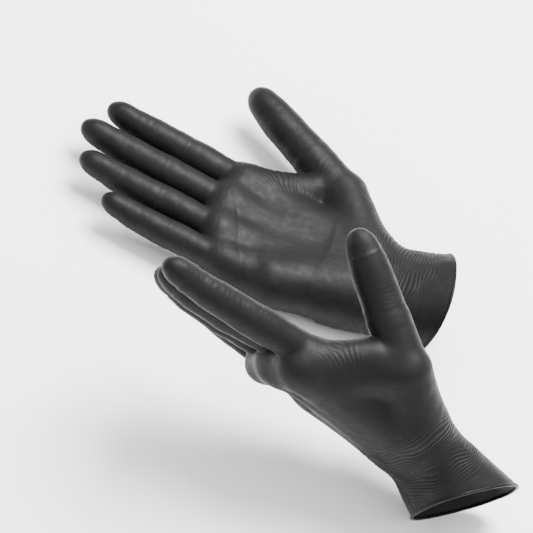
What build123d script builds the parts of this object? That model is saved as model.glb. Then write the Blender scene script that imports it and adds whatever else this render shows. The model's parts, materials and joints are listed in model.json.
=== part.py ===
from build123d import *

import os

# A pair of disposable gloves of dipped nitrile film, size medium, kept in the shape of the
# hands that wear them. Millimetres, +Z up. The right glove lies on its back with its fingers
# towards -X and its thumb towards +Y. The left glove stands on its cuff in front of it.
#
# Each glove is one continuous film. It is divided here where the film folds: a plain zone
# moves as a whole, and a short fold band joins it to the next zone.
#
# Places on a glove are given from the middle of its wrist as (distal, radial, palmar).

# ---- film and folds ----
FILM = 0.15
BEAD_RADIUS = 0.9
BEAD_CLEARANCE = 0.02
FOLD_HALF = 3.0
WRIST_FOLD = 13.0

# ---- palm: (distal, radial middle, full width, palmar face) of each cross-section ----
BACK_FACE = -17.0
BACK_TRIM = 0.2
PALM_SECTIONS = [
    (0.0, 0.0, 57.0, 19.0),
    (28.0, -1.0, 68.0, 19.0),
    (62.0, -4.0, 79.0, 14.0),
    (91.0, -4.5, 79.0, 11.0),
]
PALM_CORNER = 13.0

# ---- fingers: where the base fold is, the two zone lengths and the three radii ----
FINGERS = {
    "index": dict(fold=(106.0, 24.5, 0.0), base=26.0, tip=43.0, radii=(9.6, 8.9, 7.4)),
    "middle": dict(fold=(109.0, 4.5, 0.0), base=28.0, tip=46.0, radii=(9.6, 8.9, 7.4)),
    "ring": dict(fold=(105.0, -15.5, 0.0), base=26.5, tip=43.5, radii=(9.2, 8.5, 7.0)),
    "little": dict(fold=(97.0, -34.5, 0.0), base=21.0, tip=35.0, radii=(8.6, 7.8, 6.3)),
}
FINGER_ROOT = 24.0
THUMB_RADII = (13.0, 11.0, 8.6)
THUMB_ROOT = (20.0, 14.0, 1.0)
THUMB_STUB = 10.0
THUMB_BASE_SHARE = 0.56

# ---- cuff: (distance from the wrist, width across, depth through) of its cross-sections, ----
# ---- up to the slanted rim, which each glove gives for itself ----
CUFF_SECTIONS = [
    (WRIST_FOLD, 57.0, 42.0),
    (20.0, 58.0, 44.5),
]
CUFF_ROUNDNESS = 0.42


class Glove:
    """One glove: its name, the plane of its palm at the wrist, and the shape of its hand."""

    def __init__(self, name, wrist, distal, radial, thumb, thumb_end, forearm, rim,
                 rim_distance, rim_size, reach, spread, curl):
        self.name = name
        self.hand = 1 if name == "left" else -1
        along = Vector(*distal).normalized()
        across = Vector(*radial)
        across = (across - along * across.dot(along)).normalized()
        palmar = along.cross(across) * self.hand
        self.place = Plane(origin=wrist, x_dir=along, z_dir=palmar)
        self.distal = Vector(1, 0, 0)
        self.radial = Vector(0, self.hand, 0)
        self.palmar = Vector(0, 0, 1)
        self.thumb = self.spot(*thumb)
        self.thumb_end = self.spot(*thumb_end)
        self.forearm = self.way(*forearm)
        self.rim = self.way(*rim)
        self.rim_distance = rim_distance
        self.rim_size = rim_size
        distal_end, middle, width, palmar_face = PALM_SECTIONS[0]
        self.heel = self.spot(distal_end, middle, (palmar_face + BACK_FACE) / 2)
        self.reach = reach
        self.spread = spread
        self.curl = curl

    def spot(self, distal, radial, palmar):
        """A place on the glove, in the frame that the glove is modelled in."""
        return Vector(distal, self.hand * radial, palmar)

    def way(self, distal, radial, palmar):
        """A direction on the glove, in the frame that the glove is modelled in."""
        return self.spot(distal, radial, palmar).normalized()

    def finger_way(self, finger):
        """The direction of a straight finger, spread sideways and curled to the palm."""
        ahead = Vector(1, 0, 0).rotate(Axis.Z, self.spread[finger])
        lift = Vector(1, 0, 0).rotate(Axis.Y, -self.curl[finger])
        return self.way(ahead.X * lift.X, ahead.Y * lift.X, lift.Z)

    def finish(self, part, name):
        """Move a finished piece from the glove's own frame to its place, and write its file."""
        placed = part.moved(self.place.location)
        placed.label = f"{self.name}_{name}"
        export_step(placed, f"parts/{placed.label}.step")


GLOVES = [
    Glove(
        "right",
        wrist=(35.73, 36.44, -BACK_FACE),
        distal=(-1, 0, 0),
        radial=(0, 1, 0),
        thumb=(44.0, 52.0, 4.0),
        thumb_end=(107.0, 80.0, 8.0),
        forearm=(-1, 0.08, 0.25),
        rim=(-0.955, 0.235, -0.13),
        rim_distance=35.0,
        rim_size=(60.0, 51.0),
        reach=dict(index=0, middle=0, ring=0, little=0),
        spread=dict(index=1, middle=0, ring=-1, little=-2),
        curl=dict(index=0, middle=0, ring=0, little=0),
    ),
    Glove(
        "left",
        wrist=(92.78, -73.46, 48.88),
        distal=(-0.913, -0.161, 0.375),
        radial=(0.0, -0.46, 0.89),
        thumb=(48.5, 37.0, 25.0),
        thumb_end=(100.5, 30.0, 65.0),
        forearm=(-0.934, 0.104, -0.34),
        rim=(-0.635, 0.314, -0.703),
        rim_distance=44.0,
        rim_size=(62.0, 55.0),
        reach=dict(index=8, middle=-8, ring=-6, little=0),
        spread=dict(index=-1, middle=-1, ring=0, little=1),
        curl=dict(index=-4, middle=-5, ring=-3, little=3),
    ),
]


def sleeve(glove, name, start, way, length, radius, end_radius, domed=False):
    """A hollow tapered sleeve of film from start along way, open or with a domed end."""
    side = glove.palmar.cross(way).normalized()
    with BuildPart() as piece:
        with BuildSketch(Plane(origin=start, x_dir=side, z_dir=side.cross(way))):
            with BuildLine():
                Line((radius - FILM, 0), (radius, 0))
                Line((radius, 0), (end_radius, length))
                if domed:
                    CenterArc((0, length), end_radius, 0, 90)
                    Line((0, length + end_radius), (0, length + end_radius - FILM))
                    CenterArc((0, length), end_radius - FILM, 90, -90)
                else:
                    Line((end_radius, length), (end_radius - FILM, length))
                Line((end_radius - FILM, length), (radius - FILM, 0))
            make_face()
        revolve(axis=Axis(start, way))
    glove.finish(piece.part, name)


def taper_between(low, low_radius, high, high_radius):
    """A solid cone frustum between two places, added to the part being built."""
    way = (high - low).normalized()
    side = Plane(origin=low, z_dir=way).x_dir
    length = (high - low).length
    with BuildSketch(Plane(origin=low, x_dir=side, z_dir=side.cross(way))) as half:
        with BuildLine():
            Polyline((0, 0), (low_radius, 0), (high_radius, length), (0, length), close=True)
        make_face()
    revolve(half.sketch, axis=Axis(low, way))


def thumb_root(glove, inset):
    """The bent solid tube from inside the palm to the fold at the foot of the thumb."""
    along = (glove.thumb_end - glove.thumb).normalized()
    root = glove.spot(*THUMB_ROOT)
    turn = glove.thumb - along * THUMB_STUB
    outward = (turn - root).normalized()
    level = (glove.palmar - outward * glove.palmar.dot(outward)).normalized()
    with BuildPart() as tube:
        with BuildLine():
            Polyline(root, turn, glove.thumb - along * FOLD_HALF)
        with BuildSketch(Plane(origin=root, x_dir=level, z_dir=outward)):
            Circle(THUMB_RADII[0] - inset)
        sweep(transition=Transition.RIGHT)
    return tube.part


def hand_body(glove, inset):
    """The solid form of the palm and the back of the hand, without fingers."""
    last = len(PALM_SECTIONS) - 1
    with BuildPart() as form:
        for number, (distal, middle, width, palmar_face) in enumerate(PALM_SECTIONS):
            end = distal - inset if number == last else distal
            height = palmar_face - BACK_FACE + BACK_TRIM
            centre = glove.spot(end, middle, palmar_face - height / 2)
            with BuildSketch(Plane(origin=centre, x_dir=glove.radial, z_dir=glove.distal)):
                RectangleRounded(width - 2 * inset, height - 2 * inset, PALM_CORNER - inset)
        loft(ruled=True)
        back = Plane(origin=glove.spot(0, 0, BACK_FACE + inset), z_dir=glove.palmar)
        split(bisect_by=back, keep=Keep.TOP)
    return form.part


def finger_root(glove, finger, inset):
    """The solid stub that carries one finger, up to its base fold."""
    way = glove.finger_way(finger)
    fold = glove.spot(*FINGERS[finger]["fold"])
    radius = FINGERS[finger]["radii"][0] - inset
    with BuildPart() as stub:
        taper_between(fold - way * FINGER_ROOT, radius, fold - way * FOLD_HALF, radius)
    return stub.part


def palm_forms(glove, inset):
    """The forms that make up the palm, each drawn in by inset all round."""
    roots = [finger_root(glove, finger, inset) for finger in FINGERS]
    return [hand_body(glove, inset), thumb_root(glove, inset)] + roots


def palm(glove):
    """The palm and back of the hand, open at the wrist, the fingers and the thumb."""
    with BuildPart() as piece:
        for form in palm_forms(glove, 0):
            add(form)
        for hollow in palm_forms(glove, FILM):
            add(hollow, mode=Mode.SUBTRACT)
    glove.finish(piece.part, "palm")


def cuff_section(glove, distance, width, depth, inset):
    """The plane and the half-round outline sizes of one cross-section of the cuff."""
    way = glove.rim if distance >= glove.rim_distance else glove.forearm
    along = min(distance, glove.rim_distance)
    origin = glove.heel + glove.forearm * along + way * (distance - along)
    across = (glove.radial - way * glove.radial.dot(way)).normalized()
    plane = Plane(origin=origin, x_dir=across, z_dir=way)
    corner = CUFF_ROUNDNESS * depth
    return plane, width - 2 * inset, depth - 2 * inset, corner - inset


def cuff_form(glove, inset):
    """The solid form of the cuff, from the wrist fold to the rim, drawn in by inset."""
    with BuildPart() as form:
        for distance, width, depth in CUFF_SECTIONS + [(glove.rim_distance, *glove.rim_size)]:
            plane, wide, deep, corner = cuff_section(glove, distance, width, depth, inset)
            with BuildSketch(plane):
                RectangleRounded(wide, deep, corner)
        loft(ruled=True)
    return form.part


def wrist_form(glove, inset):
    """The solid form of the fold between the palm's open end and the cuff."""
    distal, middle, width, palmar_face = PALM_SECTIONS[0]
    height = palmar_face - BACK_FACE
    centre = glove.spot(distal, middle, BACK_FACE + height / 2)
    plane, wide, deep, corner = cuff_section(glove, *CUFF_SECTIONS[0], inset)
    with BuildPart() as form:
        with BuildSketch(Plane(origin=centre, x_dir=glove.radial, z_dir=-glove.distal)):
            RectangleRounded(width - 2 * inset, height - 2 * inset, PALM_CORNER - inset)
        with BuildSketch(plane):
            RectangleRounded(wide, deep, corner)
        loft(ruled=True)
    return form.part


def cuff(glove):
    """The cuff, the fold that joins it to the palm, and the rolled bead round its rim."""
    with BuildPart() as fold:
        add(wrist_form(glove, 0))
        add(wrist_form(glove, FILM), mode=Mode.SUBTRACT)
    glove.finish(fold.part, "wrist_fold")
    with BuildPart() as tube:
        add(cuff_form(glove, 0))
        add(cuff_form(glove, FILM), mode=Mode.SUBTRACT)
    glove.finish(tube.part, "cuff")

    past_rim = glove.rim_distance + BEAD_RADIUS + BEAD_CLEARANCE
    plane, wide, deep, corner = cuff_section(glove, past_rim, *glove.rim_size, FILM / 2)
    with BuildPart() as bead:
        with BuildSketch(plane, mode=Mode.PRIVATE) as rim:
            RectangleRounded(wide, deep, corner)
        path = rim.sketch.faces()[0].outer_wire()
        with BuildSketch(Plane(origin=path @ 0, z_dir=path % 0)):
            Circle(BEAD_RADIUS)
        sweep(path=path)
    glove.finish(bead.part, "cuff_bead")


def digit(glove, name, fold, way, base, tip, radii):
    """A finger or thumb: the fold at its foot, its base, the fold in its middle, its tip."""
    middle = fold + way * base
    at_fold, at_middle, at_end = radii
    straight = 2 * FOLD_HALF
    sleeve(glove, f"{name}_base_fold", fold - way * FOLD_HALF, way, straight, at_fold, at_fold)
    sleeve(glove, f"{name}_base", fold + way * FOLD_HALF, way, base - straight,
           at_fold, at_middle)
    sleeve(glove, f"{name}_middle_fold", middle - way * FOLD_HALF, way, straight,
           at_middle, at_middle)
    sleeve(glove, f"{name}_tip", middle + way * FOLD_HALF, way, tip - FOLD_HALF,
           at_middle, at_end, domed=True)


os.makedirs("parts", exist_ok=True)

for glove in GLOVES:
    palm(glove)
    cuff(glove)
    for finger, size in FINGERS.items():
        digit(glove, finger, glove.spot(*size["fold"]), glove.finger_way(finger),
              size["base"], size["tip"] + glove.reach[finger], size["radii"])
    thumb_length = (glove.thumb_end - glove.thumb).length
    thumb_base = thumb_length * THUMB_BASE_SHARE
    digit(glove, "thumb", glove.thumb, (glove.thumb_end - glove.thumb).normalized(),
          thumb_base, thumb_length - thumb_base, THUMB_RADII)
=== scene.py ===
# %% [markdown]
# # A pair of black disposable gloves
# Two gloves of dipped nitrile film, kept in the shape of the hands that wear them. The right
# glove lies on its back, and the left one stands on its cuff in front of it. The frame gives
# where each zone of film is and how it bends; this file gives the gloves their real skin.

import json

import bpy
import numpy as np
from mathutils import Matrix, Vector


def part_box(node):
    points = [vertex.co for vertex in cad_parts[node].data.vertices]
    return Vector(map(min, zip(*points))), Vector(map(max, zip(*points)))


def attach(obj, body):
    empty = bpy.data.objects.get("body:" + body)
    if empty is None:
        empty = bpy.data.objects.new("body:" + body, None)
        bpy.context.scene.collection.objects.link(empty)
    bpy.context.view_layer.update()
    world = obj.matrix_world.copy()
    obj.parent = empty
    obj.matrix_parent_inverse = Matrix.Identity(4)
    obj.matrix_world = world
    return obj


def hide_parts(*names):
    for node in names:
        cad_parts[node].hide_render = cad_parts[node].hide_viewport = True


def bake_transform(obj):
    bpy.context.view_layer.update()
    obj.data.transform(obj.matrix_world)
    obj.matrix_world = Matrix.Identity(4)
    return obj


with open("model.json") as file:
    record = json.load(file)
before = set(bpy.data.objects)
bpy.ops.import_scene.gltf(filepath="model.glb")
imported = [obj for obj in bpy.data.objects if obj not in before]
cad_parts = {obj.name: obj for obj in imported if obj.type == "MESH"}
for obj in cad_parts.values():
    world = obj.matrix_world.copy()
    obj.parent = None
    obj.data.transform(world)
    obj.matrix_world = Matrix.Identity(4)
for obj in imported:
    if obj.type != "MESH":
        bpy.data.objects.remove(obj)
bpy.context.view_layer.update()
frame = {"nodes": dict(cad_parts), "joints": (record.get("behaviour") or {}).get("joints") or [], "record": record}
joints = {joint["name"]: joint for joint in frame["joints"]}
MM = 0.001

# %% [markdown]
# A glove is easiest to shape in the hand's own directions: distal (towards the fingertips),
# radial (towards the thumb side) and palmar (out of the palm). The joints and boxes of the
# frame say where those directions point, so every later number is a distance on the hand in
# millimetres, and both gloves can share it.

# %% The directions of each hand
SIDES = ("right", "left")
FINGERS = ("index", "middle", "ring", "little")
DIGITS = FINGERS + ("thumb",)
WRIST_FOLD = 13.0
PALM_OFFSET = 1.0


def unit(vector):
    vector = np.asarray(vector, float)
    return vector / np.linalg.norm(vector)


def middle_of(node):
    """The middle of a node's box, in millimetres."""
    low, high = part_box(node)
    return (np.array(low) + np.array(high)) / 2 / MM


class Hand:
    """The directions of one hand, and the lines of its digits, in millimetres."""

    def __init__(self, side):
        self.side = side
        hinge = joints[f"{side}_wrist_bend"]
        self.radial = unit(hinge["axis"])
        finger = middle_of(f"{side}_middle_middle_fold") - middle_of(f"{side}_middle_base_fold")
        self.distal = unit(finger - self.radial * finger.dot(self.radial))
        turn = 1 if side == "left" else -1
        self.palmar = np.cross(self.distal, self.radial) * turn
        self.mirrored = turn < 0
        bend = np.array(hinge["pos_m"]) / MM
        opening = next(mount for mount in frame["record"]["mounts"]
                       if mount["name"] == f"{side}_hand_opening")
        rim_middle = np.array(opening["pos_m"]) / MM
        forearm = unit(rim_middle - bend)
        heel = bend - forearm * WRIST_FOLD / 2
        self.axes = np.array([self.distal, self.radial, self.palmar])
        self.wrist = heel - self.palmar * PALM_OFFSET
        self.heel = self.to_hand(heel)
        self.forearm = self.axes @ forearm
        self.rim = float((self.to_hand(rim_middle) - self.heel) @ self.forearm)
        self.rim_way = self.axes @ unit(opening["axis"])
        self.digits = {digit: self.line_of(digit) for digit in DIGITS}

    def to_hand(self, place):
        return (np.asarray(place) - self.wrist) @ self.axes.T

    def to_world(self, place):
        return (np.asarray(place) @ self.axes + self.wrist) * MM

    def line_of(self, digit):
        """Where a digit starts, its direction, and how far its middle fold and its end are."""
        name = f"{self.side}_{digit}"
        fold = self.to_hand(middle_of(f"{name}_base_fold"))
        middle = self.to_hand(middle_of(f"{name}_middle_fold"))
        way = unit(middle - fold)
        tip = frame["nodes"][f"{name}_tip"].data.vertices
        ends = self.to_hand(np.array([corner.co for corner in tip]) / MM)
        return dict(fold=fold, way=way, bend=float((middle - fold) @ way),
                    end=float(((ends - fold) @ way).max()))


hands = {side: Hand(side) for side in SIDES}
for side, hand in hands.items():
    print(side, "rim", round(hand.rim, 1),
          {digit: round(line["end"], 1) for digit, line in hand.digits.items()})

# %% [markdown]
# Nothing on a film glove is perfectly smooth, and each run must give the same wrinkles. This
# noise is worked out from the place alone, so it has no seed to forget and it is the same on
# both sides of a cut between two pieces.

# %% Noise, pleats and creases
def noise(places, seed=0.0):
    """Smooth random numbers from -1 to 1 for a list of places."""
    cell = np.floor(places)
    part = places - cell
    ease = part * part * (3 - 2 * part)
    total = np.zeros(len(places))
    for corner in np.ndindex(2, 2, 2):
        code = np.sin((cell + corner) @ np.array([12.9898, 78.233, 37.719]) + seed) * 43758.5453
        weight = np.prod(np.where(corner, ease, 1 - ease), axis=1)
        total += weight * (2 * (code - np.floor(code)) - 1)
    return total


def step_up(value, low, high):
    """0 below low, 1 above high, and a smooth rise between."""
    share = np.clip((value - low) / (high - low), 0, 1)
    return share * share * (3 - 2 * share)


def hump(value, low, high, edge):
    """1 between low and high, and a smooth fall to 0 over edge outside them."""
    return step_up(value, low - edge, low) * (1 - step_up(value, high, high + edge))


def pleat(phase):
    """Round ridges with narrow valleys between them, as in stretched film."""
    return np.abs(np.sin(np.pi * phase)) - 0.64


def crease(points, path, width):
    """A groove from 0 to -1 along a path of (distal, radial) places."""
    near = np.full(len(points), 1e9)
    for start, end in zip(path[:-1], path[1:]):
        start, run = np.array(start, float), np.subtract(end, start)
        along = np.clip((points - start) @ run / (run @ run), 0, 1)
        near = np.minimum(near, np.linalg.norm(points - start - along[:, None] * run, axis=1))
    return -np.exp(-((near / width) ** 2))


# %% [markdown]
# The palm joins four fingers, a thumb and a wrist in one smooth skin. Sculpting would do it by
# hand; here the bones are tapered capsules whose distance fields melt into each other. The
# film bridges the hollows between bones, and a wide melt does just that. Near each finger the
# melt is narrowed to nothing, so that every finger is free of its neighbour.

# %% The form under the film
CUT = {"index": 3.0, "middle": 3.0, "ring": 3.0, "little": 3.0, "thumb": 20.0}
BONE_MELT = 14.0
WRIST_MELT = 14.0
WEB = {"index": 9.0, "middle": 9.0, "ring": 9.0, "little": 9.0, "thumb": 12.0}
FOOT = {"index": 9.3, "middle": 9.3, "ring": 9.0, "little": 8.3, "thumb": 12.2}
STUB = {"index": 24.0, "middle": 24.0, "ring": 24.0, "little": 22.0}
ROOT_PAST_CUT = 7.0
THUMB_ROOT_BACK = 6.0
WEB_AT_CUT = 0.3
WEB_RUN = 16.0
BONES = {
    "right": [
        ((8, 14, 0.0, 16.5), (86, 23, -3.0, 12.4)),
        ((8, 5, 0.0, 16.8), (88, 4.5, -3.5, 12.8)),
        ((8, -5, 0.0, 16.8), (84, -15.5, -3.5, 12.6)),
        ((8, -12, 0.0, 16.0), (76, -33, -3.0, 12.0)),
        ((12, -15, 3.0, 14.0), (52, -31, -1.0, 13.5)),
        ((93, 24.5, -1.5, 9.6), (58, 42, 2, 9.0)),
        ((96, 24, -1.0, 9.4), (97.5, 4, -1.2, 9.5)),
        ((97.5, 4, -1.2, 9.5), (94, -15.5, -1.0, 9.3)),
        ((94, -15.5, -1.0, 9.2), (86, -33, -0.6, 8.6)),
    ],
    "left": [
        ((8, 14, 0.0, 17.0), (86, 23, 0.0, 11.6)),
        ((8, 5, -1.0, 17.5), (88, 4.5, 0.5, 11.6)),
        ((8, -5, -1.0, 17.0), (84, -15.5, 5.0, 10.2)),
        ((8, -12, 0.0, 16.0), (76, -33, 6.5, 9.6)),
        ((12, -15, 3.0, 14.0), (52, -31, 3.5, 11.5)),
        ((95, 24.5, 1.6, 9.2), (63, 34, 23, 9.2)),
        ((82, 23, 2.0, 10.5), (52, 32, 19, 12.5)),
        ((96, 24, 0.0, 9.3), (97.5, 4, 0.0, 9.4)),
        ((97.5, 4, 0.0, 9.4), (94, -15.5, 0.5, 9.2)),
        ((94, -15.5, 0.5, 9.2), (86, -33, 1.0, 8.6)),
    ],
}
THENAR = {"right": (15, 20, 4.5, 15.5), "left": (17, 21, 6.0, 18.0)}
CUFF = [(-20.0, 28.6, 17.5), (0.0, 28.8, 18.2), (13.0, 28.8, 20.6), (28.0, 29.6, 23.6),
        (44.0, 31.0, 27.4), (66.0, 32.8, 32.0)]
CUFF_POWER = 2.3


def capsule(points, start, end):
    """The distance to a capsule between two balls of (distal, radial, palmar, radius)."""
    start, end = np.array(start, float), np.array(end, float)
    run = end[:3] - start[:3]
    along = np.clip((points - start[:3]) @ run / (run @ run), 0, 1)
    gap = np.linalg.norm(points - start[:3] - along[:, None] * run, axis=1)
    return gap - (start[3] + along * (end[3] - start[3]))


def melt(one, two, reach):
    """The nearer of two distances, with the corner between them filled over reach."""
    near = np.maximum(reach - np.abs(one - two), 0) / reach
    return np.minimum(one, two) - near * near * near * reach / 6


def around_forearm(hand, points):
    """Where points are along the forearm, across it and through it, from the heel."""
    across = unit(np.array([0, 1, 0]) - hand.forearm * hand.forearm[1])
    through = np.cross(hand.forearm, across)
    through = through if through[2] > 0 else -through
    away = points - hand.heel
    return away @ hand.forearm, away @ across, away @ through, across, through


def cuff_distance(hand, points):
    along, across, through, _, _ = around_forearm(hand, points)
    stations, wide, deep = np.array(CUFF).T
    half_wide = np.interp(along, stations, wide)
    half_deep = np.interp(along, stations, deep)
    ratio = (np.abs(across) / half_wide) ** CUFF_POWER + (np.abs(through) / half_deep) ** CUFF_POWER
    tube = (ratio ** (1 / CUFF_POWER) - 1) * np.minimum(half_wide, half_deep)
    return np.maximum(tube, -22 - along)


def glove_distance(hand, points):
    """How far points are outside the film of the palm, the digits' roots and the wrist."""
    bones = BONES[hand.side]
    form = capsule(points, *bones[0])
    for bone in bones[1:]:
        form = melt(form, capsule(points, *bone), BONE_MELT)
    form = melt(form, cuff_distance(hand, points), WRIST_MELT)
    for digit, line in hand.digits.items():
        fold, way = line["fold"], line["way"]
        foot = FOOT[digit]
        past = fold + way * (CUT[digit] + ROOT_PAST_CUT)
        if digit == "thumb":
            start = fold - way * THUMB_ROOT_BACK
            root = capsule(points, THENAR[hand.side], (*start, foot + 1.6))
            root = melt(root, capsule(points, (*start, foot), (*past, foot)), 4.0)
        else:
            root = capsule(points, (*(fold - way * STUB[digit]), foot), (*past, foot))
        before = (fold + way * CUT[digit] - points) @ way
        reach = WEB_AT_CUT + WEB[digit] * step_up(before, 0.0, WEB_RUN)
        form = melt(form, root, reach)
    return form


# %% [markdown]
# A distance field becomes a mesh where it changes sign. Blender's voxel remesh would need a
# mesh to start from, so a small surface net does it straight from the numbers: one point in
# each cell that the skin crosses, joined to its neighbours in four-sided faces. The points are
# then moved onto the exact skin along the slope of the field.

# %% A surface net
CORNERS = list(np.ndindex(2, 2, 2))


def surface_net(field, low, step):
    """Points and four-sided faces on the zero surface of a field sampled on a grid."""
    inside = field < 0
    shape = np.array(field.shape) - 1

    def corner_of(grid, corner):
        return grid[tuple(slice(c, c + n) for c, n in zip(corner, shape))]

    count = sum(corner_of(inside, corner).astype(np.int8) for corner in CORNERS)
    active = (count > 0) & (count < 8)
    index = np.full(active.shape, -1)
    index[active] = np.arange(active.sum())
    total, hits = np.zeros((active.sum(), 3)), np.zeros(active.sum())
    for corner in CORNERS:
        for axis in range(3):
            if corner[axis]:
                continue
            other = tuple(c + (axis == i) for i, c in enumerate(corner))
            here, there = corner_of(field, corner)[active], corner_of(field, other)[active]
            crossed = (here < 0) != (there < 0)
            spot = np.tile(np.array(corner, float), (len(here), 1))
            spot[crossed, axis] += here[crossed] / (here[crossed] - there[crossed])
            total[crossed] += spot[crossed]
            hits[crossed] += 1
    points = low + step * (np.argwhere(active) + total / hits[:, None])
    faces = []
    for axis in range(3):
        one, two = [a for a in range(3) if a != axis]
        if axis == 1:
            one, two = two, one
        ahead = np.roll(inside, -1, axis)
        for leaving in (True, False):
            edge = (inside & ~ahead) if leaving else (~inside & ahead)
            edge[tuple(slice(-1, None) if a == axis else slice(None) for a in range(3))] = False
            at = np.argwhere(edge)
            at = at[(at[:, one] > 0) & (at[:, two] > 0)
                    & (at[:, one] < shape[one]) & (at[:, two] < shape[two])]
            ring = []
            for back_one, back_two in ((1, 1), (0, 1), (0, 0), (1, 0)):
                cell = at.copy()
                cell[:, one] -= back_one
                cell[:, two] -= back_two
                ring.append(index[tuple(cell.T)])
            ring = np.array(ring).T
            faces.append(ring if leaving else ring[:, ::-1])
    return points, np.concatenate(faces)


def settle(distance, points, rounds=3, small=0.05):
    """Move points onto the zero surface; also the outward direction at each."""
    for _ in range(rounds):
        value = distance(points)
        slope = np.stack([distance(points + np.eye(3)[axis] * small)
                          - distance(points - np.eye(3)[axis] * small) for axis in range(3)], 1)
        slope /= 2 * small
        size = np.maximum((slope * slope).sum(1), 0.2)
        points = points - slope * (value / size)[:, None]
    return points, slope / np.linalg.norm(slope, axis=1)[:, None]


def face_normals(points, faces):
    """The direction of each point, from the faces round it."""
    diagonal_one = points[faces[:, 2]] - points[faces[:, 0]]
    diagonal_two = points[faces[:, 3]] - points[faces[:, 1]]
    flat = np.cross(diagonal_one, diagonal_two)
    total = np.zeros_like(points)
    for corner in range(4):
        np.add.at(total, faces[:, corner], flat)
    return total / np.maximum(np.linalg.norm(total, axis=1), 1e-9)[:, None]


# %% [markdown]
# The film itself is 0.15 mm thick. Each piece of skin is an outer surface and an inner one,
# joined along its open edges, so that the cuff shows a real inside. The shading directions are
# worked out before the skin is cut into pieces and kept on them, so no cut shows.

# %% A piece of film
FILM = 0.15


def film_piece(name, hand, points, normals, faces, material):
    """A closed thin shell from a skin given in the hand's own directions."""
    outer = [tuple(int(i) for i in face) for face in faces]
    edges = {}
    for face in outer:
        for a, b in zip(face, face[1:] + face[:1]):
            edges[(a, b)] = True
    count = len(points)
    rims = [(b, a, a + count, b + count) for a, b in edges if (b, a) not in edges]
    inner = [tuple(i + count for i in face[::-1]) for face in outer]
    every = outer + inner + rims
    if hand.mirrored:
        every = [face[::-1] for face in every]
    places = hand.to_world(np.concatenate([points, points - normals * FILM]))
    mesh = bpy.data.meshes.new(name)
    mesh.from_pydata(places.tolist(), [], every)
    mesh.polygons.foreach_set("use_smooth", [True] * len(every))
    mesh.materials.append(material)
    mesh.update()
    shading = np.concatenate([normals, -normals]) @ hand.axes
    mesh.normals_split_custom_set_from_vertices(shading.tolist())
    piece = bpy.data.objects.new(name, mesh)
    bpy.context.scene.collection.objects.link(piece)
    return piece


# %% [markdown]
# Black nitrile is not one black. The film is a little thinner and greyer where it is stretched,
# it has a fine grain from the ceramic form it was dipped on, and its gloss changes in soft
# patches where it was handled. All of this comes from noise on the object's own coordinates.

# %% Materials
PATCH_SCALE = 38
SKIN_SCALE = 230
GRAIN_DEPTH = 0.00008
SKIN_DEPTH = 0.00025
TINT = (1.0, 1.0, 1.05)


def film_material(name, colour, rough, grain, bump):
    material = bpy.data.materials.new(name)
    material.use_nodes = True
    tree = material.node_tree
    shader = tree.nodes["Principled BSDF"]
    shader.inputs["Specular IOR Level"].default_value = 0.12
    shader.inputs["Sheen Weight"].default_value = 0.012
    shader.inputs["Sheen Roughness"].default_value = 0.4
    place = tree.nodes.new("ShaderNodeTexCoord")

    def texture(scale, detail):
        node = tree.nodes.new("ShaderNodeTexNoise")
        node.inputs["Scale"].default_value = scale
        node.inputs["Detail"].default_value = detail
        tree.links.new(place.outputs["Object"], node.inputs["Vector"])
        return node.outputs["Fac"]

    def spread(noise_output, low, high):
        node = tree.nodes.new("ShaderNodeMapRange")
        ends = {"From Min": 0.3, "From Max": 0.7, "To Min": low, "To Max": high}
        for socket, value in ends.items():
            node.inputs[socket].default_value = value
        tree.links.new(noise_output, node.inputs["Value"])
        return node.outputs["Result"]

    def raised(height, depth):
        node = tree.nodes.new("ShaderNodeBump")
        node.inputs["Strength"].default_value = bump
        node.inputs["Distance"].default_value = depth
        tree.links.new(height, node.inputs["Height"])
        return node

    patches, fine, skin = texture(PATCH_SCALE, 3), texture(grain, 4), texture(SKIN_SCALE, 3)
    tone = spread(patches, colour * 0.82, colour * 1.2)
    mix = tree.nodes.new("ShaderNodeCombineColor")
    for channel, share in zip(("Red", "Green", "Blue"), TINT):
        part = tree.nodes.new("ShaderNodeMath")
        part.operation = "MULTIPLY"
        part.inputs[1].default_value = share
        tree.links.new(tone, part.inputs[0])
        tree.links.new(part.outputs["Value"], mix.inputs[channel])
    tree.links.new(mix.outputs["Color"], shader.inputs["Base Color"])
    tree.links.new(spread(skin, rough - 0.05, rough + 0.07), shader.inputs["Roughness"])
    first, second = raised(fine, GRAIN_DEPTH), raised(skin, SKIN_DEPTH)
    tree.links.new(first.outputs["Normal"], second.inputs["Normal"])
    tree.links.new(second.outputs["Normal"], shader.inputs["Normal"])
    return material


black_film = film_material("black nitrile film", 0.0052, 0.5, 1500, 0.5)
black_bead = film_material("rolled black bead", 0.003, 0.42, 900, 0.7)
print("materials", black_film.name, "and", black_bead.name)

# %% [markdown]
# The wrist is where a glove wrinkles most: the film was dipped on a straight form, and a bent
# wrist leaves slack rings round it. On the palm the film is stretched flat, with soft grooves
# where the hand folds. These heights are added along the skin's own direction.

# %% Heights of the palm and the wrist
PALM_LINES = [
    ([(70, -43), (77, -30), (84, -14), (93, 2)], 1.3, 0.30),
    ([(64, 33), (63, 18), (56, 0), (47, -18)], 1.8, 0.07),
    ([(76, 30), (58, 17), (36, 8), (12, 5)], 3.0, 0.12),
]
RINGS = {"right": dict(pitch=2.0, slant=0.9, low=-8, high=34, fade=7, turn=0.9),
         "left": dict(pitch=2.1, slant=2.2, low=-16, high=26, fade=8, turn=2.2)}


WRIST_PLEAT = 0.62
PALM_HOLLOW = dict(middle=(50, 2), size=(26, 17), depth=1.5)
STRETCH = dict(pitch=5.5, lean=0.02, height=0.045)
FINGER_LINES = dict(pitch=3.1, height=0.07)
KNUCKLE_LINES = dict(pitch=2.6, height=0.10)
WEB_FAN = dict(pitch=3.4, spread=0.045, size=(24, 17), height=0.55)


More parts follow.
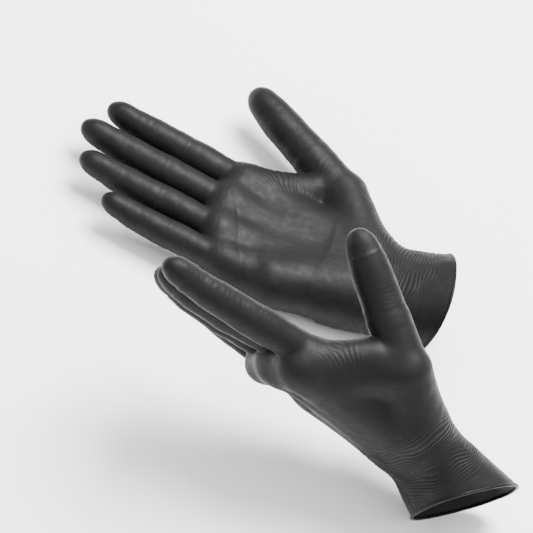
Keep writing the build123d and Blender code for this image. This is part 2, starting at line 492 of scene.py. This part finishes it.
def skin_waves(points):
    """The slow unevenness of film on a hand, in millimetres."""
    return 0.25 * noise(points / 11, 6.0) + 0.09 * noise(points / 4.2, 7.0)


def from_fold(line, points):
    """How far points are along a digit from its base fold, and how far beside its line."""
    away = points - line["fold"]
    along = away @ line["way"]
    return along, np.linalg.norm(away - along[:, None] * line["way"], axis=1)


def wrist_height(hand, points):
    """Rings of slack film round the wrist and the lower cuff, in millimetres."""
    along, across, through, _, _ = around_forearm(hand, points)
    rule = RINGS[hand.side]
    turn = np.arctan2(through, across)
    spot = np.stack([along / 9, 2.2 * np.cos(turn), 2.2 * np.sin(turn)], 1)
    phase = along / rule["pitch"] + rule["slant"] * np.sin(turn - rule["turn"]) \
        + 1.3 * noise(spot, 3.0)
    reach = step_up(along, rule["low"] - rule["fade"], rule["low"] + rule["fade"]) \
        * (1 - step_up(along, rule["high"] - rule["fade"], rule["high"] + rule["fade"]))
    patchy = 0.5 + 0.5 * step_up(noise(spot * 1.1 + 5.0, 8.0), -0.4, 0.4)
    return WRIST_PLEAT * pleat(phase) * reach * patchy


def palm_height(hand, points, normals):
    """Grooves, hollows and stretch lines of the palm, in millimetres."""
    flat = points[:, :2]
    front = step_up(normals[:, 2], 0.1, 0.5)
    back = step_up(-normals[:, 2], 0.1, 0.5)
    height = wrist_height(hand, points)
    for path, width, depth in PALM_LINES:
        wobble = flat + 1.2 * np.stack([noise(points / 9, 1.0), noise(points / 9, 2.0)], 1)
        height += front * depth * crease(wobble, path, width)
    hollow = (flat - PALM_HOLLOW["middle"]) / PALM_HOLLOW["size"]
    height -= front * PALM_HOLLOW["depth"] * np.exp(-(hollow ** 2).sum(1))
    stretch = pleat(points[:, 1] / STRETCH["pitch"] + STRETCH["lean"] * points[:, 0]
                    + 0.8 * noise(points / 15, 4.0))
    height += STRETCH["height"] * stretch * (front + back) * hump(points[:, 0], 25, 82, 12)
    height += skin_waves(points)
    for digit in FINGERS:
        along, beside = from_fold(hand.digits[digit], points)
        near = 1 - step_up(beside, 12, 15)
        rings = pleat(along / FINGER_LINES["pitch"] + 0.5 * noise(points / 5, 9.0)) \
            * hump(along, -11, -5, 4)
        height += FINGER_LINES["height"] * near * front * rings
        knuckle = pleat(along / KNUCKLE_LINES["pitch"] + 0.4 * noise(points / 4, 10.0)) \
            * hump(along, -24, -12, 5)
        height += KNUCKLE_LINES["height"] * near * back * knuckle
    middle, side_way, long_way = web_frame(hand)
    away = points - middle
    fan_long, fan_side = away @ long_way, away @ side_way
    web = np.exp(-((fan_long / WEB_FAN["size"][0]) ** 2) - ((fan_side / WEB_FAN["size"][1]) ** 2))
    opening = (1 + WEB_FAN["spread"] * fan_side) * fan_long / WEB_FAN["pitch"]
    fan = pleat(opening + 0.8 * noise(points / 9, 11.0))
    height += WEB_FAN["height"] * web * fan * step_up(noise(points / 14, 12.0), -0.7, 0.1)
    for digit, line in hand.digits.items():
        along, beside = from_fold(line, points)
        at_cut = (1 - step_up(beside, FOOT[digit] + 3, FOOT[digit] + 6)) \
            * step_up(along, CUT[digit] - 3, CUT[digit])
        height *= 1 - at_cut
    return height


def web_frame(hand):
    """The middle of the web between thumb and index finger, and two directions in it."""
    line = hand.digits["thumb"]
    start = line["fold"] + line["way"] * 8
    finish = hand.digits["index"]["fold"] - np.array([14, 0, 0])
    side_way = unit(finish - start)
    long_way = unit(np.cross(np.cross(line["way"], side_way), side_way))
    return (start + finish) / 2, long_way, side_way


# %% The palm of each glove
STEP = 0.75
CUFF_START = -14.0
CUT_MARGIN = {"index": 1.2, "middle": 1.2, "ring": 1.2, "little": 1.2, "thumb": 3.0}
WEB_TURN = {"right": ((0.10, 0.995, 0.0), 45.0, 56.0), "left": ((0.10, 0.0, 0.995), 23.0, 34.0)}


def palm_skin(hand):
    """The whole skin of the palm with its wrinkles, before it is cut."""
    folds = np.array([line["fold"] for line in hand.digits.values()])
    thumb = hand.digits["thumb"]
    reach = thumb["fold"] + thumb["way"] * (CUT["thumb"] + 9) + FOOT["thumb"] + 4
    low = np.array([-12.0, -52.0, -24.0])
    high = np.maximum(np.maximum(folds.max(0) + 18, reach), [118.0, 44.0, 24.0])
    counts = np.ceil((high - low) / STEP).astype(int)
    axes = [low[a] + STEP * np.arange(counts[a]) for a in range(3)]
    grid = np.stack(np.meshgrid(*axes, indexing="ij"), -1).reshape(-1, 3)
    field = np.concatenate([glove_distance(hand, part) for part in np.array_split(grid, 16)])
    points, faces = surface_net(field.reshape(counts), low, STEP)
    points, normals = settle(lambda spots: glove_distance(hand, spots), points)
    points = points + normals * palm_height(hand, points, normals)[:, None]
    return points, face_normals(points, faces), faces


def cut_palm(hand, points, faces):
    """The faces inside every cut, and the points with the open edges moved onto the cuts."""
    middles = points[faces].mean(1)
    wrist = hand.heel + hand.forearm * CUFF_START
    keep = ((middles - wrist) @ hand.forearm) < 0
    cuts = [(wrist, hand.forearm, 60.0)]
    for digit, line in hand.digits.items():
        start, way = line["fold"] + line["way"] * CUT[digit], line["way"]
        away = middles - start
        along = away @ way
        beside = np.linalg.norm(away - along[:, None] * way, axis=1)
        near = FOOT[digit] + CUT_MARGIN[digit]
        keep &= ~((along > 0) & (beside < near))
        cuts.append((start, way, near))
    faces = faces[keep]
    ends = np.sort(np.concatenate([faces[:, [a, (a + 1) % 4]] for a in range(4)]), 1)
    pairs, times = np.unique(ends, axis=0, return_counts=True)
    for spot in np.unique(pairs[times == 1]):
        for start, way, near in cuts:
            away = points[spot] - start
            along = away @ way
            if abs(along) < 1.5 and np.linalg.norm(away - along * way) < near:
                points[spot] -= along * way
    return points, faces


def part_of(points, normals, faces):
    """Only the points that these faces use."""
    used = np.unique(faces)
    order = np.full(len(points), -1)
    order[used] = np.arange(len(used))
    return points[used], normals[used], order[faces]


def palm_pieces(hand):
    side = hand.side
    points, normals, faces = palm_skin(hand)
    points, faces = cut_palm(hand, points, faces)
    turn_way, start, end = WEB_TURN[side]
    turn_way = unit(turn_way)
    in_web = points[faces].mean(1) @ turn_way > start
    palm = film_piece(f"{side}_palm_skin", hand, *part_of(points, normals, faces[~in_web]),
                      black_film)
    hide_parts(f"{side}_palm")
    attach(palm, f"{side}_palm")
    web = film_piece(f"{side}_thumb_web_skin", hand, *part_of(points, normals, faces[in_web]),
                     black_film)
    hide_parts(f"{side}_thumb_base_fold")
    middle = hand.digits["thumb"]["fold"]
    across = middle - turn_way * (middle @ turn_way)
    hand.to_world(across + turn_way * start)
    hand.to_world(across + turn_way * end)
    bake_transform(web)
    print(palm.name, len(palm.data.polygons), web.name, len(web.data.polygons), "faces")


for hand in hands.values():
    palm_pieces(hand)

# %% [markdown]
# A finger of the glove is a tube that narrows, swells at its joints and ends in a pad, so it is
# made in rings along its line. Rings also put the mesh where the wrinkles are: across the
# joints. The ring at the finger's foot is the same circle that the palm ends in.

# %% Fingers and thumbs
COLUMNS = 84
ROW = 0.65
SHAPES = {
    "index": dict(bend=9.6, waist=9.5, second=8.9, pad=7.7, curl=1.2, point=1.55),
    "middle": dict(bend=9.8, waist=9.4, second=9.0, pad=7.8, curl=1.4, point=1.55),
    "ring": dict(bend=9.4, waist=9.0, second=8.6, pad=7.4, curl=1.4, point=1.55),
    "little": dict(bend=8.6, waist=8.4, second=7.9, pad=6.8, curl=1.6, point=1.55),
    "thumb": dict(bend=11.3, waist=11.6, second=10.6, pad=9.3, curl=-1.0, point=1.45),
}


def smooth_profile(stations, radii, at):
    """A smooth curve through radii given at stations along the digit."""
    fine = np.linspace(stations[0] - 6, stations[-1] + 6, 400)
    rough = np.interp(fine, stations, radii)
    kernel = np.hanning(31)
    soft = np.convolve(np.pad(rough, 15, mode="edge"), kernel / kernel.sum(), "valid")
    return np.interp(at, fine, soft)


def ring_normals(rings, out, row):
    """The shading directions of rings; out says which way is outwards at one of the rows."""
    round_way = np.roll(rings, -1, 1) - np.roll(rings, 1, 1)
    normals = np.cross(round_way, np.gradient(rings, axis=0))
    if np.einsum("ij,ij->i", normals[row], out).mean() < 0:
        normals = -normals
    return normals / np.maximum(np.linalg.norm(normals, axis=2), 1e-9)[:, :, None]


def digit_rings(hand, digit):
    """Points, shading directions and the distance along the digit of every ring."""
    line, shape = hand.digits[digit], SHAPES[digit]
    way, bend, end = line["way"], line["bend"], line["end"]
    inward = np.array([0.0, 0, 1]) if digit != "thumb" else np.array([0.0, -0.8, 0.6])
    inward = unit(inward - way * inward.dot(way))
    across = np.cross(way, inward)
    second = bend + (end - bend) * 0.5
    dome = end - shape["pad"] * shape["point"]
    cut = CUT[digit]
    straight = np.arange(cut - 2 * ROW, dome, ROW)
    angles = np.linspace(0, np.pi / 2, 22)[1:]
    along = np.concatenate([straight, dome + (end - dome) * np.sin(angles)])
    swell = np.concatenate([np.ones(len(straight)), np.cos(angles) ** 0.92])
    radii = smooth_profile(
        [cut, max(4, cut + 4), max(bend * 0.55, cut + 7), bend, bend + 9, second, second + 8, end],
        [FOOT[digit], FOOT[digit], shape["waist"] + 0.1, shape["bend"], shape["waist"] - 0.3,
         shape["second"], shape["pad"] + 0.1, shape["pad"]], along)
    foot = step_up(along, cut, cut + 8)
    radii = (FOOT[digit] * (1 - foot) + radii * foot) * swell
    turn = np.linspace(0, 2 * np.pi, COLUMNS, endpoint=False)
    rise = shape["curl"] * np.clip((along - bend) / (end - bend), 0, 1) ** 2 * 2
    centre = line["fold"] + along[:, None] * way + rise[:, None] * inward
    out = np.cos(turn)[:, None] * across + np.sin(turn)[:, None] * inward
    here = np.repeat(along, COLUMNS)
    angle = np.tile(turn, len(along))
    palm_side = np.clip(np.sin(angle), 0, 1)
    nail_side = np.clip(-np.sin(angle), 0, 1)
    places = (centre[:, None] + radii[:, None, None] * out).reshape(-1, 3)
    height = digit_height(digit, places, here, angle, palm_side, nail_side, bend, second, end)
    height *= step_up(here, cut, cut + 4) * np.repeat(0.15 + 0.85 * swell, COLUMNS)
    slope = np.gradient(radii, along)[:, None, None]
    lean = np.clip(slope, -4, 4)
    push = (out[None] - lean * way) / np.sqrt(1 + lean * lean)
    places = places + push.reshape(-1, 3) * height[:, None]
    rings = places.reshape(len(along), COLUMNS, 3)
    return along, rings, ring_normals(rings, out, len(along) // 2)


PADS = {"lower": 0.3, "middle": 0.3, "tip": 0.5}
KNUCKLE = dict(pitch=2.3, height=0.15)
JOINT_GROOVE = 0.10
FOOT_GROOVE = 0.08
SLACK = dict(pitch=3.6, height=0.12)
NAIL = dict(length=13.5, depth=0.55, edge=0.16)


def digit_height(digit, places, here, angle, palm_side, nail_side, bend, second, end):
    """Pads, joint wrinkles, the nail's edge and slack folds of one digit, in millimetres."""
    long_spot = places / (5.0, 5.0, 5.0)
    height = 0.20 * noise(places / 8, 21.0) + 0.07 * noise(places / 3.1, 22.0)
    height += PADS["lower"] * palm_side * hump(here, 6, bend - 6, 5)
    height += PADS["middle"] * palm_side * hump(here, bend + 6, second - 6, 4)
    height += PADS["tip"] * palm_side * hump(here, second + 6, end - 7, 5)
    for joint, spread, strength in ((bend, 8.0, 1.0), (second, 5.5, 0.75)):
        if digit == "thumb" and joint == second:
            continue
        wave = pleat((here - joint) / KNUCKLE["pitch"] + 0.35 * noise(long_spot, 23.0)
                     + 0.25 * np.cos(angle * 2))
        near = hump(here, joint - spread, joint + spread, 3)
        height += KNUCKLE["height"] * strength * nail_side ** 0.6 * wave * near
        fold = np.exp(-(((here - joint - 1.2) / 0.9) ** 2)) \
            + 0.7 * np.exp(-(((here - joint + 1.9) / 0.8) ** 2))
        height -= JOINT_GROOVE * strength * palm_side ** 0.5 * fold
    if digit != "thumb":
        fold = np.exp(-(((here - 2.5) / 0.9) ** 2)) + 0.6 * np.exp(-(((here - 6.0) / 0.9) ** 2))
        height -= FOOT_GROOVE * palm_side ** 0.5 * fold
    slack = pleat(here / SLACK["pitch"] + 1.6 * np.cos(angle + 0.7) + 0.7 * noise(places / 6, 24.0))
    side = np.abs(np.cos(angle)) ** 1.5
    height += SLACK["height"] * slack * side * step_up(noise(places / 13, 25.0), -0.3, 0.4)
    tip = end - NAIL["length"]
    wide = 1.05 if digit != "thumb" else 0.95
    around = np.abs(np.arctan2(np.cos(angle), -np.sin(angle)))
    nail = hump(here, tip, end - 2.5, 1.6) * (1 - step_up(around, wide - 0.18, wide + 0.10))
    height -= NAIL["depth"] * nail * (1 - around / 2)
    edge = np.exp(-(((here - tip + 1.0) / 0.8) ** 2))
    height += NAIL["edge"] * edge * (1 - step_up(around, 0.9, 1.2))
    return height


def ring_faces(rows, columns):
    """Four-sided faces between rows of rings that have this many columns."""
    one = np.arange(rows - 1)[:, None] * columns
    column = np.arange(columns)[None]
    after = (column + 1) % columns
    corners = [one + column, one + after, one + columns + after, one + columns + column]
    return np.stack(corners, -1).reshape(-1, 4)


FOOT_BLEND = 9.0
BEND_BLEND = 6.0


def digit_pieces(hand, digit):
    along, rings, normals = digit_rings(hand, digit)
    line = hand.digits[digit]
    name = f"{hand.side}_{digit}"
    first, last = 1, len(along) - 1
    bend_start = int(np.argmin(np.abs(along - (line["bend"] - BEND_BLEND))))
    world = [hand.to_world(line["fold"] + line["way"] * at)
             for at in (CUT[digit], CUT[digit] + FOOT_BLEND,
                        line["bend"] - BEND_BLEND, line["bend"] + BEND_BLEND)]
    made = []
    for part, low, high, ends in (("base", first, bend_start, world[:2]),
                                  ("tip", bend_start, last - 1, world[2:])):
        points = rings[low:high + 1].reshape(-1, 3)
        shading = normals[low:high + 1].reshape(-1, 3)
        rows = high + 1 - low
        faces = [tuple(face) for face in ring_faces(rows, COLUMNS)]
        if part == "tip":
            points = np.vstack([points, rings[last].mean(0)])
            shading = np.vstack([shading, line["way"]])
            row = (rows - 1) * COLUMNS
            faces += [(row + c, row + (c + 1) % COLUMNS, rows * COLUMNS) for c in range(COLUMNS)]
        outward = np.cross(points[faces[0][1]] - points[faces[0][0]],
                           points[faces[0][3]] - points[faces[0][0]])
        if outward @ shading[0] < 0:
            faces = [face[::-1] for face in faces]
        piece = film_piece(f"{name}_{part}_skin", hand, points, shading, faces, black_film)
        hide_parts(f"{name}_{part}")
        if part == "tip":
            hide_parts(f"{name}_middle_fold")
            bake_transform(piece)
        elif digit == "thumb":
            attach(piece, f"{name}_base")
        else:
            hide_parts(f"{name}_base_fold")
            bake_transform(piece)
        made.append(len(piece.data.polygons))
    print(name, "faces", made)


for hand in hands.values():
    for digit in DIGITS:
        digit_pieces(hand, digit)

# %% [markdown]
# The cuff is a wide soft tube from the wrist to the rim. Its rings are found by looking out
# from the forearm's middle line until the same distance field that made the palm is met, so
# the two meet without a step.

# %% The cuffs
CUFF_COLUMNS = 280
CUFF_ROWS = 118
RIM_GAP = 0.9


def look_out(hand, along, out):
    """How far out from the forearm's middle line the skin is, at each along and direction."""
    centre = hand.heel + along[:, None] * hand.forearm
    low, high = np.full(len(out), 5.0), np.full(len(out), 60.0)
    for _ in range(16):
        half = (low + high) / 2
        inside = glove_distance(hand, centre + out * half[:, None]) < 0
        low, high = np.where(inside, half, low), np.where(inside, high, half)
    return low


def cuff_rings(hand):
    """Rings from the wrist to the slanted rim: where they are, and their shading."""
    _, _, _, across, through = around_forearm(hand, np.zeros((1, 3)))
    turn = np.linspace(0, 2 * np.pi, CUFF_COLUMNS, endpoint=False)
    out = np.cos(turn)[:, None] * across + np.sin(turn)[:, None] * through
    reach = np.full(CUFF_COLUMNS, 29.0)
    for _ in range(5):
        slope = (out @ hand.rim_way) / (hand.forearm @ hand.rim_way)
        last = hand.rim - reach * slope - RIM_GAP
        reach = look_out(hand, last, out)
    share = np.arange(-1, CUFF_ROWS + 1) / (CUFF_ROWS - 1)
    along = CUFF_START + share[:, None] * (last - CUFF_START)
    far, ray = along.reshape(-1), np.tile(out, (len(share), 1))
    spots = hand.heel + far[:, None] * hand.forearm + ray * look_out(hand, far, ray)[:, None]
    before_rim = (np.tile(last, len(share)) - far)
    free = step_up(far, 3, 20)
    height = wrist_height(hand, spots) * step_up(before_rim, 2, 9)
    height += (0.55 * noise(spots / 16, 31.0) + 0.12 * noise(spots / 5, 32.0)) * free
    height += skin_waves(spots) * (1 - free)
    rings = (spots + ray * height[:, None]).reshape(len(share), CUFF_COLUMNS, 3)
    return rings, ring_normals(rings, out, 4)


def cuff_piece(hand):
    rings, normals = cuff_rings(hand)
    rings, normals = rings[1:-1], normals[1:-1]
    faces = ring_faces(len(rings), CUFF_COLUMNS)
    points, shading = rings.reshape(-1, 3), normals.reshape(-1, 3)
    a, b, _, d = points[faces[0]]
    if np.cross(b - a, d - a) @ shading[0] < 0:
        faces = faces[:, ::-1]
    side = hand.side
    piece = film_piece(f"{side}_cuff_skin", hand, points, shading, faces, black_film)
    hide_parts(f"{side}_cuff", f"{side}_wrist_fold")
    hand.to_world(hand.heel)
    hand.to_world(hand.heel + hand.forearm * WRIST_FOLD)
    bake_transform(piece)
    print(piece.name, len(piece.data.polygons), "faces")
    return rings[-1]


rims = {side: cuff_piece(hand) for side, hand in hands.items()}

# %% [markdown]
# Wet film is rolled back on itself at the rim, which leaves a bead that stops tears. It is a
# round section that follows the rim, a little thicker in places. Geometry Nodes are made for
# a shape that follows a path: the rim becomes a curve, and a ring is swept along it.

# %% The rolled beads
BEAD = {"Bead radius": 0.0009, "Uneven": 0.22, "Lumps per metre": 55.0}
BEAD_SEED = {"right": 4, "left": 9}
BEAD_PAST_RIM = 0.75


def bead_tree():
    tree = bpy.data.node_groups.new("rolled bead along a rim", "GeometryNodeTree")
    face = tree.interface
    face.new_socket("Geometry", in_out="INPUT", socket_type="NodeSocketGeometry")
    for name, value in BEAD.items():
        face.new_socket(name, in_out="INPUT", socket_type="NodeSocketFloat").default_value = value
    face.new_socket("Seed", in_out="INPUT", socket_type="NodeSocketInt").default_value = 4
    face.new_socket("Material", in_out="INPUT", socket_type="NodeSocketMaterial")
    face.new_socket("Geometry", in_out="OUTPUT", socket_type="NodeSocketGeometry")

    def node(kind, **settings):
        made = tree.nodes.new(kind)
        for key, value in settings.items():
            setattr(made, key, value)
        return made

    def link(one, output, two, socket):
        tree.links.new(one.outputs[output], two.inputs[socket])

    start = node("NodeGroupInput")
    path = node("GeometryNodeMeshToCurve")
    even = node("GeometryNodeResampleCurve")
    even.inputs["Count"].default_value = 420
    lumps = node("ShaderNodeTexNoise", noise_dimensions="4D")
    spread = node("ShaderNodeMapRange")
    smaller = node("ShaderNodeMath", operation="SUBTRACT")
    larger = node("ShaderNodeMath", operation="ADD")
    smaller.inputs[0].default_value = larger.inputs[0].default_value = 1.0
    size = node("GeometryNodeSetCurveRadius")
    section = node("GeometryNodeCurvePrimitiveCircle", mode="RADIUS")
    section.inputs["Resolution"].default_value = 20
    tube = node("GeometryNodeCurveToMesh")
    smooth = node("GeometryNodeSetShadeSmooth")
    real = node("GeometryNodeRealizeInstances")
    paint = node("GeometryNodeSetMaterial")
    end = node("NodeGroupOutput")
    link(start, "Geometry", path, "Mesh")
    link(path, "Curve", even, "Curve")
    link(start, "Lumps per metre", lumps, "Scale")
    link(start, "Seed", lumps, "W")
    link(start, "Uneven", smaller, 1)
    link(start, "Uneven", larger, 1)
    link(lumps, 0, spread, "Value")
    link(smaller, "Value", spread, "To Min")
    link(larger, "Value", spread, "To Max")
    link(even, "Curve", size, "Curve")
    link(spread, "Result", size, "Radius")
    link(start, "Bead radius", section, "Radius")
    link(size, "Curve", tube, "Curve")
    link(section, "Curve", tube, "Profile Curve")
    if "Scale" in tube.inputs:
        link(spread, "Result", tube, "Scale")
    link(tube, "Mesh", smooth, "Geometry")
    link(smooth, "Geometry", real, "Geometry")
    link(real, "Geometry", paint, "Geometry")
    link(start, "Material", paint, "Material")
    link(paint, "Geometry", end, "Geometry")
    return tree


def bead_piece(hand, tree):
    rim = hand.to_world(rims[hand.side] + hand.rim_way * BEAD_PAST_RIM)
    count = len(rim)
    path = bpy.data.meshes.new("rim path")
    path.from_pydata(rim.tolist(), [(i, (i + 1) % count) for i in range(count)], [])
    carrier = bpy.data.objects.new("rim path", path)
    bpy.context.scene.collection.objects.link(carrier)
    modifier = carrier.modifiers.new("bead", "NODES")
    modifier.node_group = tree
    sockets = {item.name: item.identifier for item in tree.interface.items_tree
               if item.in_out == "INPUT"}
    for name, value in BEAD.items():
        modifier[sockets[name]] = value
    modifier[sockets["Seed"]] = BEAD_SEED[hand.side]
    modifier[sockets["Material"]] = black_bead
    view = bpy.context.evaluated_depsgraph_get()
    mesh = bpy.data.meshes.new_from_object(carrier.evaluated_get(view))
    bpy.data.objects.remove(carrier)
    mesh.name = f"{hand.side}_cuff_bead_roll"
    piece = bpy.data.objects.new(mesh.name, mesh)
    bpy.context.scene.collection.objects.link(piece)
    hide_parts(f"{hand.side}_cuff_bead")
    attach(piece, f"{hand.side}_cuff")
    print(piece.name, len(mesh.polygons), "faces")


tree = bead_tree()
for hand in hands.values():
    bead_piece(hand, tree)

# %% [markdown]
# The gloves lie on a plain pale floor in soft light that comes from the upper right. The camera
# is far away with a long lens, so the gloves keep their true proportions.

# %% Floor, light and camera
CAMERA_RIGHT = Vector((0.883, 0.360, 0.302))
CAMERA_UP = Vector((-0.469, 0.676, 0.568))
AIM = Vector((-0.0235, -0.0017, 0.0353))
DISTANCE = 2.2
LENS = 265.0


def area_light(name, direction, distance, size, power, aim):
    light = bpy.data.lights.new(name, "AREA")
    light.size, light.energy = size, power
    lamp = bpy.data.objects.new(name, light)
    lamp.location = aim + direction.normalized() * distance
    lamp.rotation_euler = direction.to_track_quat("Z", "Y").to_euler()
    bpy.context.scene.collection.objects.link(lamp)
    return lamp


floor_mesh = bpy.data.meshes.new("floor")
floor_mesh.from_pydata([(-3, -3, 0), (3, -3, 0), (3, 3, 0), (-3, 3, 0)], [], [(0, 1, 2, 3)])
floor = bpy.data.objects.new("floor", floor_mesh)
bpy.context.scene.collection.objects.link(floor)
floor.location.z = -0.0004
pale = bpy.data.materials.new("pale floor")
pale.use_nodes = True
pale.node_tree.nodes["Principled BSDF"].inputs["Base Color"].default_value = (0.95, 0.95, 0.95, 1)
pale.node_tree.nodes["Principled BSDF"].inputs["Roughness"].default_value = 0.9
floor_mesh.materials.append(pale)

right, up = CAMERA_RIGHT.normalized(), CAMERA_UP.normalized()
back = right.cross(up).normalized()
area_light("key light", right * 0.45 + up * 0.75 + back * 0.5, 1.3, 0.8, 72, AIM)
area_light("fill light", up * 0.2 + back * 0.9 + right * 0.5, 1.8, 1.6, 12, AIM)
world = bpy.data.worlds.new("soft surroundings")
world.use_nodes = True
world.node_tree.nodes["Background"].inputs["Color"].default_value = (1, 1, 1, 1)
world.node_tree.nodes["Background"].inputs["Strength"].default_value = 1.45
bpy.context.scene.world = world

camera_data = bpy.data.cameras.new("camera")
camera_data.lens = LENS
camera_data.sensor_width = 36
camera = bpy.data.objects.new("camera", camera_data)
bpy.context.scene.collection.objects.link(camera)
turned = Matrix((right, up, back)).transposed()
camera.matrix_world = Matrix.Translation(AIM + back * DISTANCE) @ turned.to_4x4()
bpy.context.scene.camera = camera
